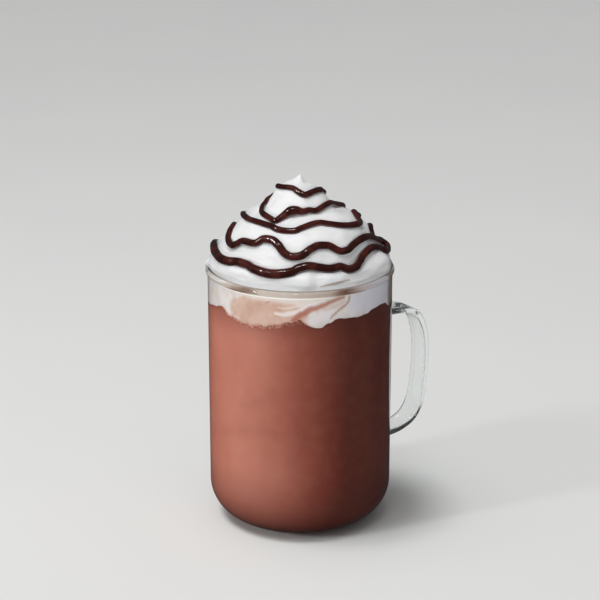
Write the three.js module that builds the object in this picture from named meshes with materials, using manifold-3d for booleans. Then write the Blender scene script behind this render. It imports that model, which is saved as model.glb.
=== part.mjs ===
// Hot chocolate in a clear glass mug, topped with whipped cream and a spiral of chocolate sauce.
// Millimetres, +Z up. The origin is the centre of the mug's flat base, and the handle points along +X.
// Three separate things make it up: the glass mug with its handle, the drink, and the cream with its sauce.

import * as THREE from 'three';
import * as BufferGeometryUtils from 'three/addons/utils/BufferGeometryUtils.js';
import Module from 'manifold-3d';

const wasm = await Module();
wasm.setup();

// The glass mug: a straight cylinder with round bottom corners and a rolled lip.
const mugHeight = 120;
const mugRadius = 42;
const wallThickness = 2.2;
const baseThickness = 5;
const outerCorner = 17;
const innerCorner = 13;
const lipProud = 0.9;
const lipHeight = 2.6;
const segments = 64;

// The handle: a flat glass strap that leaves the wall, turns down and comes back.
const strapWidth = 11;
const strapThickness = 3.3;
const strapCorner = 1.2;
const strapSteps = 26;
const flareReach = 6;
const flareWidth = 0.25;
const flareThickness = 0.7;

// What fills the mug keeps a hair's gap to the glass, and the cream to the drink below it.
const gap = 0.3;
const fillRadius = mugRadius - wallThickness - gap;

// The cream stands on the drink, and rises above the rim in a soft spiral that ends in a peak.
const creamRise = 42.4;
const creamShoulder = 42.5;
const creamTaper = 1.47;
const creamTipStart = 39;
const domeTop = 41.4;
const creamOverLip = 2.2;
const creamRings = 18;
const spiralPitch = 18;
const spiralDepth = 1.5;
const spiralRound = 0.25;
const spiralMean = 1.55;
const meanEdge = -14;
const facesInside = [0.45, 0.75];

// The sauce: one strand laid on the cream, sunk into it by a share of its radius.
const sauceSunk = 0.4;
const sauceSides = 6;
const sauceSteps = 270;
const sauceParts = 6;
const degreesPerUnit = 8;

// Angles below are counted round the mug from the side that is seen, to the right, in degrees.
const seenSide = -124;

const toRadians = THREE.MathUtils.degToRad;

// A closed mesh as a solid that can be joined or cut.
function toSolid(geometry) {
  const bare = new THREE.BufferGeometry();
  bare.setAttribute('position', geometry.getAttribute('position').clone());
  bare.setIndex(geometry.getIndex());
  const merged = BufferGeometryUtils.mergeVertices(bare, 1e-4);
  const index = merged.getIndex().array;
  const whole = [];
  for (let i = 0; i < index.length; i += 3) {
    const [a, b, c] = [index[i], index[i + 1], index[i + 2]];
    if (a !== b && b !== c && c !== a) whole.push(a, b, c);
  }
  return new wasm.Manifold(new wasm.Mesh({
    numProp: 3,
    vertProperties: Float32Array.from(merged.getAttribute('position').array),
    triVerts: Uint32Array.from(whole),
  }));
}

function toGeometry(solid) {
  const mesh = solid.getMesh();
  const geometry = new THREE.BufferGeometry();
  geometry.setAttribute('position', new THREE.BufferAttribute(mesh.vertProperties, 3));
  geometry.setIndex(new THREE.BufferAttribute(mesh.triVerts, 1));
  return geometry;
}

// Turns a profile of [radius, height] about the Z axis. shape moves each point, given its radius,
// its height and its angle from the seen side.
function turned(profile, shape = (radius, height) => [radius, height]) {
  const points = profile.map(([radius, height]) => new THREE.Vector2(radius, height));
  const geometry = new THREE.LatheGeometry(points, segments);
  geometry.rotateX(Math.PI / 2);
  const position = geometry.getAttribute('position');
  for (let i = 0; i < position.count; i++) {
    const ring = Math.floor(i / points.length);
    const angle = (360 * (ring % segments)) / segments;
    const [radius, height] = shape(points[i % points.length].x, points[i % points.length].y, angle);
    const turn = toRadians(angle + seenSide);
    position.setXYZ(i, radius * Math.cos(turn), radius * Math.sin(turn), height);
  }
  return geometry;
}

// Points of a round corner, from one angle to another, in degrees.
function arc(centreRadius, centreHeight, radius, from, to, steps) {
  const points = [];
  for (let i = 0; i <= steps; i++) {
    const angle = toRadians(from + ((to - from) * i) / steps);
    points.push([centreRadius + radius * Math.cos(angle), centreHeight + radius * Math.sin(angle)]);
  }
  return points;
}

// A smooth closed curve through [angle, value] bends, read at any angle.
function roundTheMug(bends) {
  return (angle) => {
    const count = bends.length;
    const wrapped = THREE.MathUtils.euclideanModulo(angle - bends[0][0], 360) + bends[0][0];
    let i = 0;
    while (i < count - 1 && bends[i + 1][0] <= wrapped) i++;
    const next = i === count - 1 ? [bends[0][0] + 360, bends[0][1]] : bends[i + 1];
    const share = (wrapped - bends[i][0]) / (next[0] - bends[i][0]);
    return THREE.MathUtils.lerp(bends[i][1], next[1], THREE.MathUtils.smoothstep(share, 0, 1));
  };
}

function glassMug() {
  const lip = lipHeight / 2;
  const wallInside = mugRadius - wallThickness;
  const lipMiddle = (mugRadius + lipProud + wallInside) / 2;
  const lipHalf = (mugRadius + lipProud - wallInside) / 2;
  const roundLip = arc(0, 0, 1, -60, 180, 7).map(([across, up]) => [
    lipMiddle + lipHalf * across,
    mugHeight - lip + lip * up,
  ]);
  const profile = [
    [0, 0],
    ...arc(mugRadius - outerCorner, outerCorner, outerCorner, -90, 0, 6),
    [mugRadius, mugHeight - lipHeight * 1.5],
    ...roundLip,
    ...arc(wallInside - innerCorner, baseThickness + innerCorner, innerCorner, 0, -90, 4),
    [0, baseThickness],
  ];
  return toSolid(turned(profile)).add(toSolid(handle()));
}

// The strap's middle line, as [distance from the axis, height], from the top joint to the bottom one.
function strapLine() {
  const inWall = mugRadius - wallThickness / 2;
  const fromRim = [
    [inWall, -29.8],
    [50, -30.1],
    [58.5, -31.1],
    [64.6, -34.4],
    [68.4, -42],
    [69.8, -54],
    [69.1, -67],
    [66.8, -80],
    [62.4, -86.6],
    [55, -90.1],
    [48, -91.2],
    [inWall, -91.6],
  ];
  return new THREE.CatmullRomCurve3(
    fromRim.map(([out, down]) => new THREE.Vector3(out, 0, mugHeight + down)),
  );
}

function strapSection() {
  const across = strapWidth / 2 - strapCorner;
  const deep = strapThickness / 2 - strapCorner;
  const section = new THREE.Shape();
  section.absarc(across, deep, strapCorner, 0, Math.PI / 2);
  section.absarc(-across, deep, strapCorner, Math.PI / 2, Math.PI);
  section.absarc(-across, -deep, strapCorner, Math.PI, Math.PI * 1.5);
  section.absarc(across, -deep, strapCorner, Math.PI * 1.5, Math.PI * 2);
  section.closePath();
  return section;
}

// The glass was pressed on hot, so the strap spreads a little where it meets the wall.
function handle() {
  const line = strapLine();
  const geometry = new THREE.ExtrudeGeometry(strapSection(), {
    steps: strapSteps,
    curveSegments: 1,
    extrudePath: line,
  });
  const ends = [line.getPoint(0).z, line.getPoint(1).z];
  const position = geometry.getAttribute('position');
  for (let i = 0; i < position.count; i++) {
    const [x, y, z] = [position.getX(i), position.getY(i), position.getZ(i)];
    const near = Math.max(0, 1 - (x - mugRadius + wallThickness / 2) / flareReach) ** 2;
    const middle = z > mugHeight / 2 ? ends[0] : ends[1];
    position.setY(i, y * (1 + flareWidth * near));
    position.setZ(i, z + (z - middle) * flareThickness * near);
  }
  return geometry;
}

// How far below the rim the cream meets the drink at the glass, round the mug.
const creamEdge = roundTheMug([
  [-78, -15.6], [-66, -13.8], [-57, -12.5], [-50, -14.4], [-41, -15.9], [-31, -17], [-23, -16.9],
  [-14, -16], [-7, -14.5], [0, -13.5], [4, -15], [8, -16.3], [13, -16.5], [18, -15.1],
  [24, -13.1], [36, -13.4], [46, -13.2], [57, -12.1], [66, -12.6], [74, -15.2], [104, -12.6],
  [131, -16.4], [158, -13], [188, -15.8], [216, -12.4], [250, -14.6],
]);

// The height, counted from the rim, of the face where cream and drink meet.
function meeting(radius, angle) {
  return meanEdge + (creamEdge(angle) - meanEdge) * (radius / fillRadius) ** 2;
}

function drink() {
  const corner = innerCorner - gap;
  const bottom = baseThickness + gap;
  const top = mugHeight + meanEdge;
  const profile = [
    [0, bottom],
    ...arc(fillRadius - corner, bottom + corner, corner, -90, 0, 4),
    [fillRadius, top],
    ...facesInside.map((share) => [fillRadius * share, top]).reverse(),
    [0, top],
  ];
  return toSolid(turned(profile, (radius, height, angle) => (
    [radius, height === top ? mugHeight + meeting(radius, angle) - gap : height]
  )));
}

// The cream's plain dome: its radius at a height above the rim.
function domeRadius(height) {
  const open = (at) => creamShoulder * (1 - (at / domeTop) ** creamTaper);
  if (height > creamTipStart) {
    return (open(creamTipStart) * (creamRise - height)) / (creamRise - creamTipStart);
  }
  const overLip = fillRadius + creamOverLip * THREE.MathUtils.smoothstep(height, 0, 1);
  return Math.min(open(Math.max(height, 0)), overLip);
}

// The crease between two coils, as [angle, height]. It drops by one pitch for each turn round.
const creaseBends = [[-100, 12.5], [0, 9.8], [100, 12], [260, 12.5 - spiralPitch]];

function creaseHeight(angle) {
  const first = creaseBends[0][0];
  const lap = Math.floor((angle - first) / 360);
  let height = creaseBends[0][1] - lap * spiralPitch;
  for (let i = 1; i < creaseBends.length; i++) {
    const share = THREE.MathUtils.smoothstep(angle - 360 * lap, creaseBends[i - 1][0], creaseBends[i][0]);
    height += (creaseBends[i][1] - creaseBends[i - 1][1]) * share;
  }
  return height;
}

// The spiral's coils are round bulges, which fade out at the rim and at the peak.
function coil(height, angle) {
  const turns = (height - creaseHeight(angle)) / spiralPitch;
  const bulge = Math.hypot(Math.sin(Math.PI * turns), spiralRound);
  const fade = THREE.MathUtils.smoothstep(height, 3, 9) * (1 - THREE.MathUtils.smoothstep(height, 34, 41));
  return spiralDepth * (2 * bulge - spiralMean) * fade;
}

// Soft lobes and hollows that the nozzle left, as [angle, height, half-width, swell].
const lobes = [
  [68, 5, 6, 1.4], [40, 3, 7, -1.2], [5, 3.5, 5, 0.9], [-84, 1.2, 2.4, 1.6], [-98, 19, 4, -1.5],
  [-107, 11, 4, 0.7], [52, 26, 6, 1], [-90, 35, 4, 1.2], [105, 38, 5, -1.6], [113, 24.5, 5, -1],
  [92, 3.5, 3, -2], [96, 13.5, 3, 0.9], [140, 6, 9, 1.4], [185, 12, 8, -1.2], [230, 5, 8, 1.1],
  [160, 27, 7, 0.8], [64, 11, 6, 0.9], [88, 37.4, 2.4, 1],
];

function swell(height, angle) {
  const radius = domeRadius(height);
  let total = 0;
  for (const [at, up, size, rise] of lobes) {
    const round = THREE.MathUtils.euclideanModulo(angle - at + 180, 360) - 180;
    const far = Math.hypot(toRadians(round) * Math.max(radius, 4), height - up) / size;
    total += rise * Math.exp(-far * far);
  }
  return total * THREE.MathUtils.smoothstep(height, 0, 1.5);
}

// A point on the cream's outside, and how far off it a thing is held: [radius, height from the rim].
function onCream(height, angle, off = 0) {
  const step = 0.2;
  const lean = (domeRadius(height - step) - domeRadius(height + step)) / (2 * step);
  const length = Math.hypot(1, lean);
  const out = coil(height, angle) + swell(height, angle) + off;
  const tip = 1 - THREE.MathUtils.smoothstep(height, creamTipStart, creamRise);
  return [domeRadius(height) + (out * tip) / length, height + (out * tip * lean) / length];
}

function cream() {
  const profile = [0, ...facesInside, 1].map((share) => [fillRadius * share, meanEdge]);
  const inGlass = [-7, -1.5];
  for (const height of inGlass) profile.push([fillRadius, height]);
  for (let i = 0; i <= creamRings; i++) {
    const height = (creamRise * i) / creamRings;
    profile.push([domeRadius(height), height]);
  }
  return toSolid(turned(profile, (radius, height, angle) => {
    if (height === meanEdge) return [radius, mugHeight + meeting(radius, angle)];
    if (height < 0) return [radius, mugHeight + height];
    const [outward, up] = onCream(height, angle);
    return [height === creamRise ? 0 : Math.max(outward, 0.4), mugHeight + up + gap];
  }));
}

// The sauce's bends as [angle, height above the rim, radius]. Each turn crosses the seen side from left
// to right and goes on round the back. The last one turns back at the right, goes round the other
// way, lower and thicker, and ends on the right shoulder.
const sauceTurns = [
  [[-102, 35, 1.2], [-84, 35.5, 1.3], [-41, 36.7, 1.4], [-20, 36.5, 1.45], [-3, 35.4, 1.55],
    [10, 34.5, 1.6], [24, 34.9, 1.55], [41, 35.3, 1.5], [60, 35.4, 1.5], [75, 35.1, 1.4],
    [88, 35.1, 1.3], [102, 35, 1.2], [116, 33.6, 1.2], [134, 31, 1.2], [160, 29.6, 1.2],
    [205, 29.4, 1.3], [238, 30.2, 1.3]],
  [[-106, 31.4, 1.3], [-87, 30.5, 1.4], [-79, 29, 1.45], [-63, 27.4, 1.5], [-41, 26.4, 1.55],
    [-31, 25.8, 1.6], [-26, 27.2, 1.85], [-20, 28.8, 2.2], [-13, 29.7, 2.65], [-6, 29.9, 2.4],
    [4, 29.7, 1.8], [15, 30.1, 1.6], [26, 29.8, 1.55], [36, 30.2, 1.55], [50, 30.7, 1.5],
    [67, 30.6, 1.5], [91, 28.5, 1.4], [109, 26.2, 1.4], [132, 23.2, 1.5], [165, 21.2, 1.5],
    [205, 19.8, 1.4], [236, 19, 1.3]],
  [[-108, 21, 1.3], [-90, 22.8, 1.4], [-67, 23.4, 1.5], [-44, 23.7, 1.5], [-32, 23.5, 1.55],
    [-22, 22.6, 1.6], [-6, 22.6, 1.65], [2, 23.8, 1.6], [13, 25.1, 1.55], [24, 25.4, 1.5],
    [33, 24.3, 1.5], [43, 22.8, 1.5], [53, 21.8, 1.55], [66, 20.9, 1.6], [74, 20.9, 1.6],
    [82, 22.2, 1.5], [91, 23.8, 1.45], [101, 22.4, 1.2], [113, 19.4, 1.3], [130, 17.6, 1.4],
    [160, 16, 1.5], [200, 14.8, 1.5], [236, 13.4, 1.4]],
  [[-108, 16.2, 1.45], [-90, 18.2, 1.6], [-80, 16.5, 1.75], [-73, 14.5, 1.8], [-63, 13.9, 1.85],
    [-57, 15, 1.8], [-51, 16.4, 1.8], [-38, 16.7, 1.8], [-31, 18.5, 1.95], [-24, 18.5, 2],
    [-18, 17.3, 2], [-11, 14.6, 1.95], [-6, 13.8, 1.95], [0, 14, 1.95], [9, 16.3, 1.9],
    [15, 17.2, 1.9], [22, 17, 1.85], [33, 14.4, 1.75], [38, 14.5, 1.75], [46, 15.7, 1.75],
    [55, 16.4, 1.8], [66, 16.2, 1.8], [79, 14.4, 1.8], [94, 11, 1.85], [99, 8.8, 1.85],
    [94, 7, 1.9], [80, 8.4, 1.9], [72, 11, 1.9], [61, 12.3, 1.9], [53, 11.6, 1.95], [46, 9.7, 2],
    [39, 8, 2.05], [34, 7.8, 2.05], [28, 9.4, 2.05], [21, 9.1, 2.05], [13, 9.9, 2.1],
    [6, 10.5, 2.15], [-1, 9.7, 2.2], [-6, 8.2, 2.25], [-18, 7, 2.25], [-31, 8, 2.25],
    [-39, 9.2, 2.2], [-47, 9.2, 2.15], [-54, 8.2, 2.15], [-63, 7.8, 2.15], [-75, 8.2, 2.1],
    [-89, 8.6, 2.05], [-102, 7.2, 1.85], [-113, 5.2, 1.6], [-124, 4.4, 1.5], [-155, 4.8, 1.6],
    [-190, 8, 1.6], [-220, 11.6, 1.6], [-247, 13.6, 1.5], [-261, 16.4, 1.4], [-269, 16.6, 1.4],
    [-276, 15.4, 1.4], [-284, 15, 1.3]],
];

// Points all along the sauce, as vectors of angle, height and radius.
function sauceRoute() {
  const bends = sauceTurns.flatMap((turn, lap) => turn.map(([angle, height, radius]) => (
    new THREE.Vector3((angle + 360 * lap) / degreesPerUnit, height, radius)
  )));
  const points = new THREE.CatmullRomCurve3(bends).getSpacedPoints(sauceSteps);
  return points.map(({ x, y, z }) => new THREE.Vector3(x * degreesPerUnit, y, z));
}

// A place on the cream, or held off it, as a point.
function offCream(angle, height, off) {
  const [radius, up] = onCream(height, angle, off);
  const turn = toRadians(angle + seenSide);
  return new THREE.Vector3(radius * Math.cos(turn), radius * Math.sin(turn), mugHeight + up + gap);
}

// The rings of points round the strand, each in a plane across it.
function sauceRings() {
  const route = sauceRoute();
  const held = (radius) => radius * (1 - 2 * sauceSunk);
  const middles = route.map(({ x, y, z }) => offCream(x, y, held(z)));
  return route.map(({ x, y, z: radius }, i) => {
    const [before, after] = [middles[Math.max(i - 1, 0)], middles[Math.min(i + 1, sauceSteps)]];
    const along = after.clone().sub(before).normalize();
    const across = offCream(x, y, held(radius) + 1).sub(middles[i]).cross(along).normalize();
    const outward = along.clone().cross(across);
    return Array.from({ length: sauceSides }, (_, side) => {
      const turn = (Math.PI * 2 * side) / sauceSides;
      return middles[i].clone()
        .addScaledVector(across, radius * Math.cos(turn))
        .addScaledVector(outward, radius * Math.sin(turn));
    });
  });
}

// A stretch of the strand as a solid, closed at both ends by a fan of faces.
function stretch(rings) {
  const index = [];
  const last = (rings.length - 1) * sauceSides;
  for (let side = 0; side < sauceSides; side++) {
    const next = (side + 1) % sauceSides;
    for (let low = 0; low < last; low += sauceSides) {
      const high = low + sauceSides;
      index.push(low + side, low + next, high + next, low + side, high + next, high + side);
    }
    if (side > 0 && next > 0) index.push(0, next, side, last, last + side, last + next);
  }
  const geometry = new THREE.BufferGeometry().setFromPoints(rings.flat());
  geometry.setIndex(index);
  return toSolid(geometry);
}

// Joining solids end to end can leave a speck without volume, so only the largest body is kept.
function largest(solid) {
  return solid.decompose().reduce((most, body) => (body.volume() > most.volume() ? body : most));
}

// The strand is cut into stretches, because it crosses itself on the right shoulder.
function creamWithSauce() {
  const rings = sauceRings();
  const length = Math.ceil(sauceSteps / sauceParts);
  let whole = cream();
  for (let start = 0; start < sauceSteps; start += length) {
    whole = whole.add(stretch(rings.slice(start, start + length + 1)));
  }
  return largest(whole);
}

function named(name, solid, material) {
  const mesh = new THREE.Mesh(toGeometry(solid), material);
  mesh.name = name;
  return mesh;
}

const clearGlass = new THREE.MeshStandardMaterial({ color: 0xdfe9e6, roughness: 0.05, metalness: 0 });
const milkChocolate = new THREE.MeshStandardMaterial({ color: 0xa66453, roughness: 0.5, metalness: 0 });
const whippedCream = new THREE.MeshStandardMaterial({ color: 0xf2efe9, roughness: 0.6, metalness: 0 });

const hotChocolate = new THREE.Group();
hotChocolate.add(named('glass_mug', glassMug(), clearGlass));
hotChocolate.add(named('hot_chocolate', drink(), milkChocolate));
hotChocolate.add(named('whipped_cream', creamWithSauce(), whippedCream));

export default hotChocolate;
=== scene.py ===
# %% [markdown]
# # Hot chocolate in a glass mug
# A clear glass mug holds a milky chocolate drink. Whipped cream floats on it and stands up
# above the rim in a soft spiral, and one long strand of dark chocolate sauce is laid over it. The
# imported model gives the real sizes. Each of its three solids is coarse, so each is replaced here
# by a fine mesh of the same form, and every finish is a node material.

# %% Load the frame
import math
import random

import bpy
import numpy as np
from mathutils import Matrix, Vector, noise


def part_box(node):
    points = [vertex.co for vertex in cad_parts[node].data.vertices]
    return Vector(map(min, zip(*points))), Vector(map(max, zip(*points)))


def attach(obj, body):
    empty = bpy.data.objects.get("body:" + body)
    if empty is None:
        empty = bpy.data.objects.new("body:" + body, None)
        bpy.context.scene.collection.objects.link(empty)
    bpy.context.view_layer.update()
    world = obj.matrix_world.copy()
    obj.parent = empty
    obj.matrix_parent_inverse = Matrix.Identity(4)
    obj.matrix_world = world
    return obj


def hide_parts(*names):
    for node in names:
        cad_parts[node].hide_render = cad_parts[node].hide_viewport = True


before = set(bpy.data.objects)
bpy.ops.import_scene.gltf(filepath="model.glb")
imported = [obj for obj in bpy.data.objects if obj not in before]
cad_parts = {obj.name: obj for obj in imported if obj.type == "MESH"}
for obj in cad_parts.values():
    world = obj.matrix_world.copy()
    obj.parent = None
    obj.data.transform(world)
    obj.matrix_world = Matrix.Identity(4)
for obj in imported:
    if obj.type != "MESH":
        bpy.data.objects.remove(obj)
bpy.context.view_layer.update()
MM = 0.001

mug_low, mug_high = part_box("glass_mug")
drink_low, drink_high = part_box("hot_chocolate")
cream_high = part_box("whipped_cream")[1]
GAP = 0.3
RIM = mug_high.z / MM
LIP_RADIUS = -mug_low.x / MM
FILL_RADIUS = drink_high.x / MM
FILL_BOTTOM = drink_low.z / MM
CREAM_RISE = cream_high.z / MM - RIM - GAP
print(f"rim {RIM:.1f} mm up, lip radius {LIP_RADIUS:.1f} mm, contents {FILL_RADIUS:.1f} mm in radius")
print(f"cream stands {CREAM_RISE:.1f} mm above the rim")

# %% [markdown]
# ## The camera
# A picture of a round mug fixes its own camera. The rim is an ellipse, the sides draw together
# towards the base, and the height in pixels is known, so the distance, the tilt and the lens
# follow from them. The camera stands 17 degrees above the rim, with the handle turned 34 degrees
# away from it. It aims a little below the rim, which puts the mug where the picture has it.

# %% Place the camera
FRAME_SIDE = 600
FOCAL_PIXELS = 1878
RIM_PIXELS_UP = 35
CAMERA_DISTANCE = 853 * MM
CAMERA_ABOVE = math.radians(16.96)
HANDLE_TURNED = math.radians(34)

camera_data = bpy.data.cameras.new("camera")
camera_data.sensor_width = 36
camera_data.lens = camera_data.sensor_width * FOCAL_PIXELS / FRAME_SIDE
camera = bpy.data.objects.new("camera", camera_data)
bpy.context.scene.collection.objects.link(camera)
bpy.context.scene.camera = camera

rim_centre = Vector((0, 0, RIM * MM))
towards = Vector((-math.sin(HANDLE_TURNED), -math.cos(HANDLE_TURNED), 0))
to_camera = towards * math.cos(CAMERA_ABOVE) + Vector((0, 0, math.sin(CAMERA_ABOVE)))
screen_up = Vector((0, 0, math.cos(CAMERA_ABOVE))) - towards * math.sin(CAMERA_ABOVE)
camera.location = rim_centre + to_camera * CAMERA_DISTANCE
aim_point = rim_centre - screen_up * CAMERA_DISTANCE * RIM_PIXELS_UP / FOCAL_PIXELS
camera.rotation_euler = (aim_point - camera.location).to_track_quat("-Z", "Y").to_euler()
print(f"lens {camera_data.lens:.1f} mm, camera {camera.location.z:.3f} m up")

# %% [markdown]
# ## Places round the mug
# Everything on the mug is round, so a place is a radius, a height and an angle. Angles are
# counted in degrees from the side that faces the camera, to the right, and heights from the rim
# unless a name says otherwise. One function turns them into metres.

# %% Places in millimetres
SEEN_SIDE = -124


def smoothstep(value, low, high):
    share = np.clip((np.asarray(value, float) - low) / (high - low), 0, 1)
    return share * share * (3 - 2 * share)


def place(radius, height_from_rim, angle):
    """Points in metres, as [..., xyz], from millimetres and degrees."""
    turn = np.radians(np.asarray(angle, float) + SEEN_SIDE)
    radius, height, turn = np.broadcast_arrays(radius, height_from_rim, turn)
    return np.stack([radius * np.cos(turn), radius * np.sin(turn), height + RIM], axis=-1) * MM


def arc(centre, radius, start, end, steps):
    """A round corner of a profile, as rows of [radius, height]."""
    angles = np.radians(np.linspace(start, end, steps + 1))
    return np.stack([np.cos(angles), np.sin(angles)], axis=1) * radius + centre


# %% [markdown]
# ## A mesh from rings of points
# Bodies turned on an axis, straps and strands all are rings of points in a row. Blender's Screw
# and curve bevel could make the plain ones. Rings made in code serve all of them, because each
# ring may also be moved by a formula before it becomes faces.

# %% Join rings into a closed mesh


def add_piece(name, points, faces):
    mesh = bpy.data.meshes.new(name)
    mesh.from_pydata(np.asarray(points).tolist(), [], faces)
    mesh.polygons.foreach_set("use_smooth", [True] * len(mesh.polygons))
    mesh.update()
    piece = bpy.data.objects.new(name, mesh)
    bpy.context.scene.collection.objects.link(piece)
    print(f"{name}: {len(mesh.vertices)} points, {len(mesh.polygons)} faces")
    return piece


def closed_mesh(rings, first_tip, last_tip):
    """Points and faces of a closed mesh: [row, around, xyz] rings, and a point to close each end."""
    count, around = rings.shape[:2]
    here = np.arange(around)
    onward = np.roll(here, -1)
    faces = []
    for row in range(count - 1):
        low, high = row * around, (row + 1) * around
        faces += np.stack([low + here, low + onward, high + onward, high + here], axis=1).tolist()
    points = np.vstack([rings.reshape(-1, 3), [first_tip, last_tip]])
    first, last, top = len(points) - 2, len(points) - 1, (count - 1) * around
    faces += [[b, a, first] for a, b in zip(here.tolist(), onward.tolist())]
    faces += [[top + a, top + b, last] for a, b in zip(here.tolist(), onward.tolist())]
    return points, faces


def turned(name, profile, around):
    """A profile of [radius, height from the rim], from the axis at the bottom back to the axis."""
    angles = np.arange(around) * 360 / around
    rings = place(profile[:, :1], profile[:, 1:], angles[None, :])
    tips = [(0, 0, (RIM + profile[end, 1]) * MM) for end in (0, -1)]
    return add_piece(name, *closed_mesh(rings, *tips))


# %% [markdown]
# ## The glass mug
# The real mug is borosilicate glass: a straight cylinder with round bottom corners, a rolled lip
# that stands a little proud, and a flat strap for a handle. The body is one profile turned about
# the axis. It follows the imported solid's own sizes, with many more sides, so that the glass bends
# light smoothly.

# %% Turn the glass body
AROUND = 256
WALL = 2.2
WALL_INSIDE = FILL_RADIUS + GAP
WALL_OUTSIDE = WALL_INSIDE + WALL
BASE_TOP = FILL_BOTTOM - GAP - RIM
OUTER_CORNER = 17
INNER_CORNER = 13
LIP_HEIGHT = 2.6
LIP_STEPS = 28
OUTER_STEPS = 24
INNER_STEPS = 20
FLAT_RINGS = (5, 15)


def body_profile():
    lip_size = np.array([(LIP_RADIUS - WALL_INSIDE) / 2, LIP_HEIGHT / 2])
    lip_middle = (LIP_RADIUS - lip_size[0], -lip_size[1])
    lip = arc((0, 0), 1, -58, 180, LIP_STEPS) * lip_size + lip_middle
    neck = [[WALL_OUTSIDE, -LIP_HEIGHT * 1.7], [WALL_OUTSIDE + 0.02, -LIP_HEIGHT * 1.2]]
    wall = np.arange(OUTER_CORNER + 2, RIM - LIP_HEIGHT * 2, 2.5) - RIM
    outside = np.stack([np.full(len(wall), WALL_OUTSIDE), wall], axis=1)
    inside = np.stack([np.full(len(wall), WALL_INSIDE), wall[::-1]], axis=1)
    outer_middle = (WALL_OUTSIDE - OUTER_CORNER, OUTER_CORNER - RIM)
    inner_middle = (WALL_INSIDE - INNER_CORNER, BASE_TOP + INNER_CORNER)
    return np.vstack([
        [[out, -RIM] for out in FLAT_RINGS],
        arc(outer_middle, OUTER_CORNER, -90, 0, OUTER_STEPS),
        outside, neck, lip, inside,
        arc(inner_middle, INNER_CORNER, 0, -90, INNER_STEPS),
        [[out, BASE_TOP] for out in FLAT_RINGS[::-1]],
    ])


glass_mug = turned("mug_of_clear_glass", body_profile(), AROUND)

# %% [markdown]
# The handle is a strap of 11 by 3.3 mm, swept along a smooth line through the same bends as the
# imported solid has. At both ends it spreads, as hot glass does when it is pressed on to a wall. A
# curve with a bevel could make the sweep, but rings of points let the ends spread.

# %% Sweep the handle
STRAP_WIDTH = 11
STRAP_THICKNESS = 3.3
STRAP_CORNER = 1.2
STRAP_CORNER_STEPS = 8
STRAP_STEPS = 120
SPAN_POINTS = 40
FLARE_REACH = 6
FLARE_WIDTH = 0.25
FLARE_THICKNESS = 0.7
IN_WALL = WALL_OUTSIDE - WALL / 2
STRAP_BENDS = [
    (IN_WALL, -29.8), (50, -30.1), (58.5, -31.1), (64.6, -34.4), (68.4, -42), (69.8, -54),
    (69.1, -67), (66.8, -80), (62.4, -86.6), (55, -90.1), (48, -91.2), (IN_WALL, -91.6),
]


def smooth_line(bends, steps):
    """A centripetal Catmull-Rom line through the bends, cut into even steps."""
    bends = np.asarray(bends, float)
    ends = np.vstack([2 * bends[0] - bends[1], bends, 2 * bends[-1] - bends[-2]])
    gaps = np.linalg.norm(np.diff(ends, axis=0), axis=1) ** 0.5
    share = np.linspace(0, 1, SPAN_POINTS, endpoint=False)[:, None]
    line = []
    for i in range(len(bends) - 1):
        before, here, there, after = ends[i:i + 4]
        back, reach, on = gaps[i:i + 3]
        leave = (here - before) / back - (there - before) / (back + reach) + (there - here) / reach
        arrive = (there - here) / reach - (after - here) / (reach + on) + (after - there) / on
        start = (1 + 2 * share) * (1 - share) ** 2 * here + share * (1 - share) ** 2 * leave * reach
        end = share ** 2 * (3 - 2 * share) * there + share ** 2 * (share - 1) * arrive * reach
        line.append(start + end)
    line = np.vstack(line + [bends[-1:]])
    length = np.concatenate([[0], np.cumsum(np.linalg.norm(np.diff(line, axis=0), axis=1))])
    even = np.linspace(0, length[-1], steps + 1)
    return np.stack([np.interp(even, length, column) for column in line.T], axis=1)


def strap_section():
    """The strap's rounded oblong, as rows of [across, through]."""
    across, through = STRAP_WIDTH / 2 - STRAP_CORNER, STRAP_THICKNESS / 2 - STRAP_CORNER
    corners = [(1, -1, -90), (1, 1, 0), (-1, 1, 90), (-1, -1, 180)]
    return np.vstack([
        arc((across * x, through * y), STRAP_CORNER, start, start + 90, STRAP_CORNER_STEPS)
        for x, y, start in corners
    ])


def strap_rings():
    line = smooth_line(STRAP_BENDS, STRAP_STEPS)
    along = np.gradient(line, axis=0)
    along /= np.linalg.norm(along, axis=1, keepdims=True)
    across, through = strap_section().T
    out = line[:, :1] - along[:, 1:] * through
    height = line[:, 1:] + along[:, :1] * through
    near = np.clip(1 - (out - IN_WALL) / FLARE_REACH, 0, 1) ** 2
    joint = np.where(height > -RIM / 2, line[0, 1], line[-1, 1])
    wide = across * (1 + FLARE_WIDTH * near)
    thick = height + (height - joint) * FLARE_THICKNESS * near
    return np.stack([out, wide, thick + RIM], axis=-1) * MM


rings = strap_rings()
handle = add_piece("handle_strap", *closed_mesh(rings, rings[0].mean(axis=0), rings[-1].mean(axis=0)))

# %% [markdown]
# The strap and the wall are one piece of glass. Two overlapping pieces would show a surface
# inside the glass where there is none, so a Boolean joins them and the strap is removed.

# %% Join the handle to the wall
SHARP_ABOVE = math.radians(38)


def joined(piece, other):
    union = piece.modifiers.new("join", "BOOLEAN")
    union.operation = "UNION"
    union.solver = "EXACT"
    union.object = other
    ready = piece.evaluated_get(bpy.context.evaluated_depsgraph_get())
    mesh = bpy.data.meshes.new_from_object(ready)
    piece.modifiers.clear()
    piece.data = mesh
    bpy.data.objects.remove(other)
    mesh.set_sharp_from_angle(angle=SHARP_ABOVE)
    return piece


joined(glass_mug, handle)
print(f"mug and handle: {len(glass_mug.data.polygons)} faces")

# %% [markdown]
# ## Where the cream meets the drink
# Through the glass, the lower edge of the cream is a ragged line that sinks and rises between 12
# and 17 mm below the rim. The drink's top and the cream's underside share one formula, so they
# fit whatever it says. Small waves make the edge ragged, as foam is.

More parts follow.
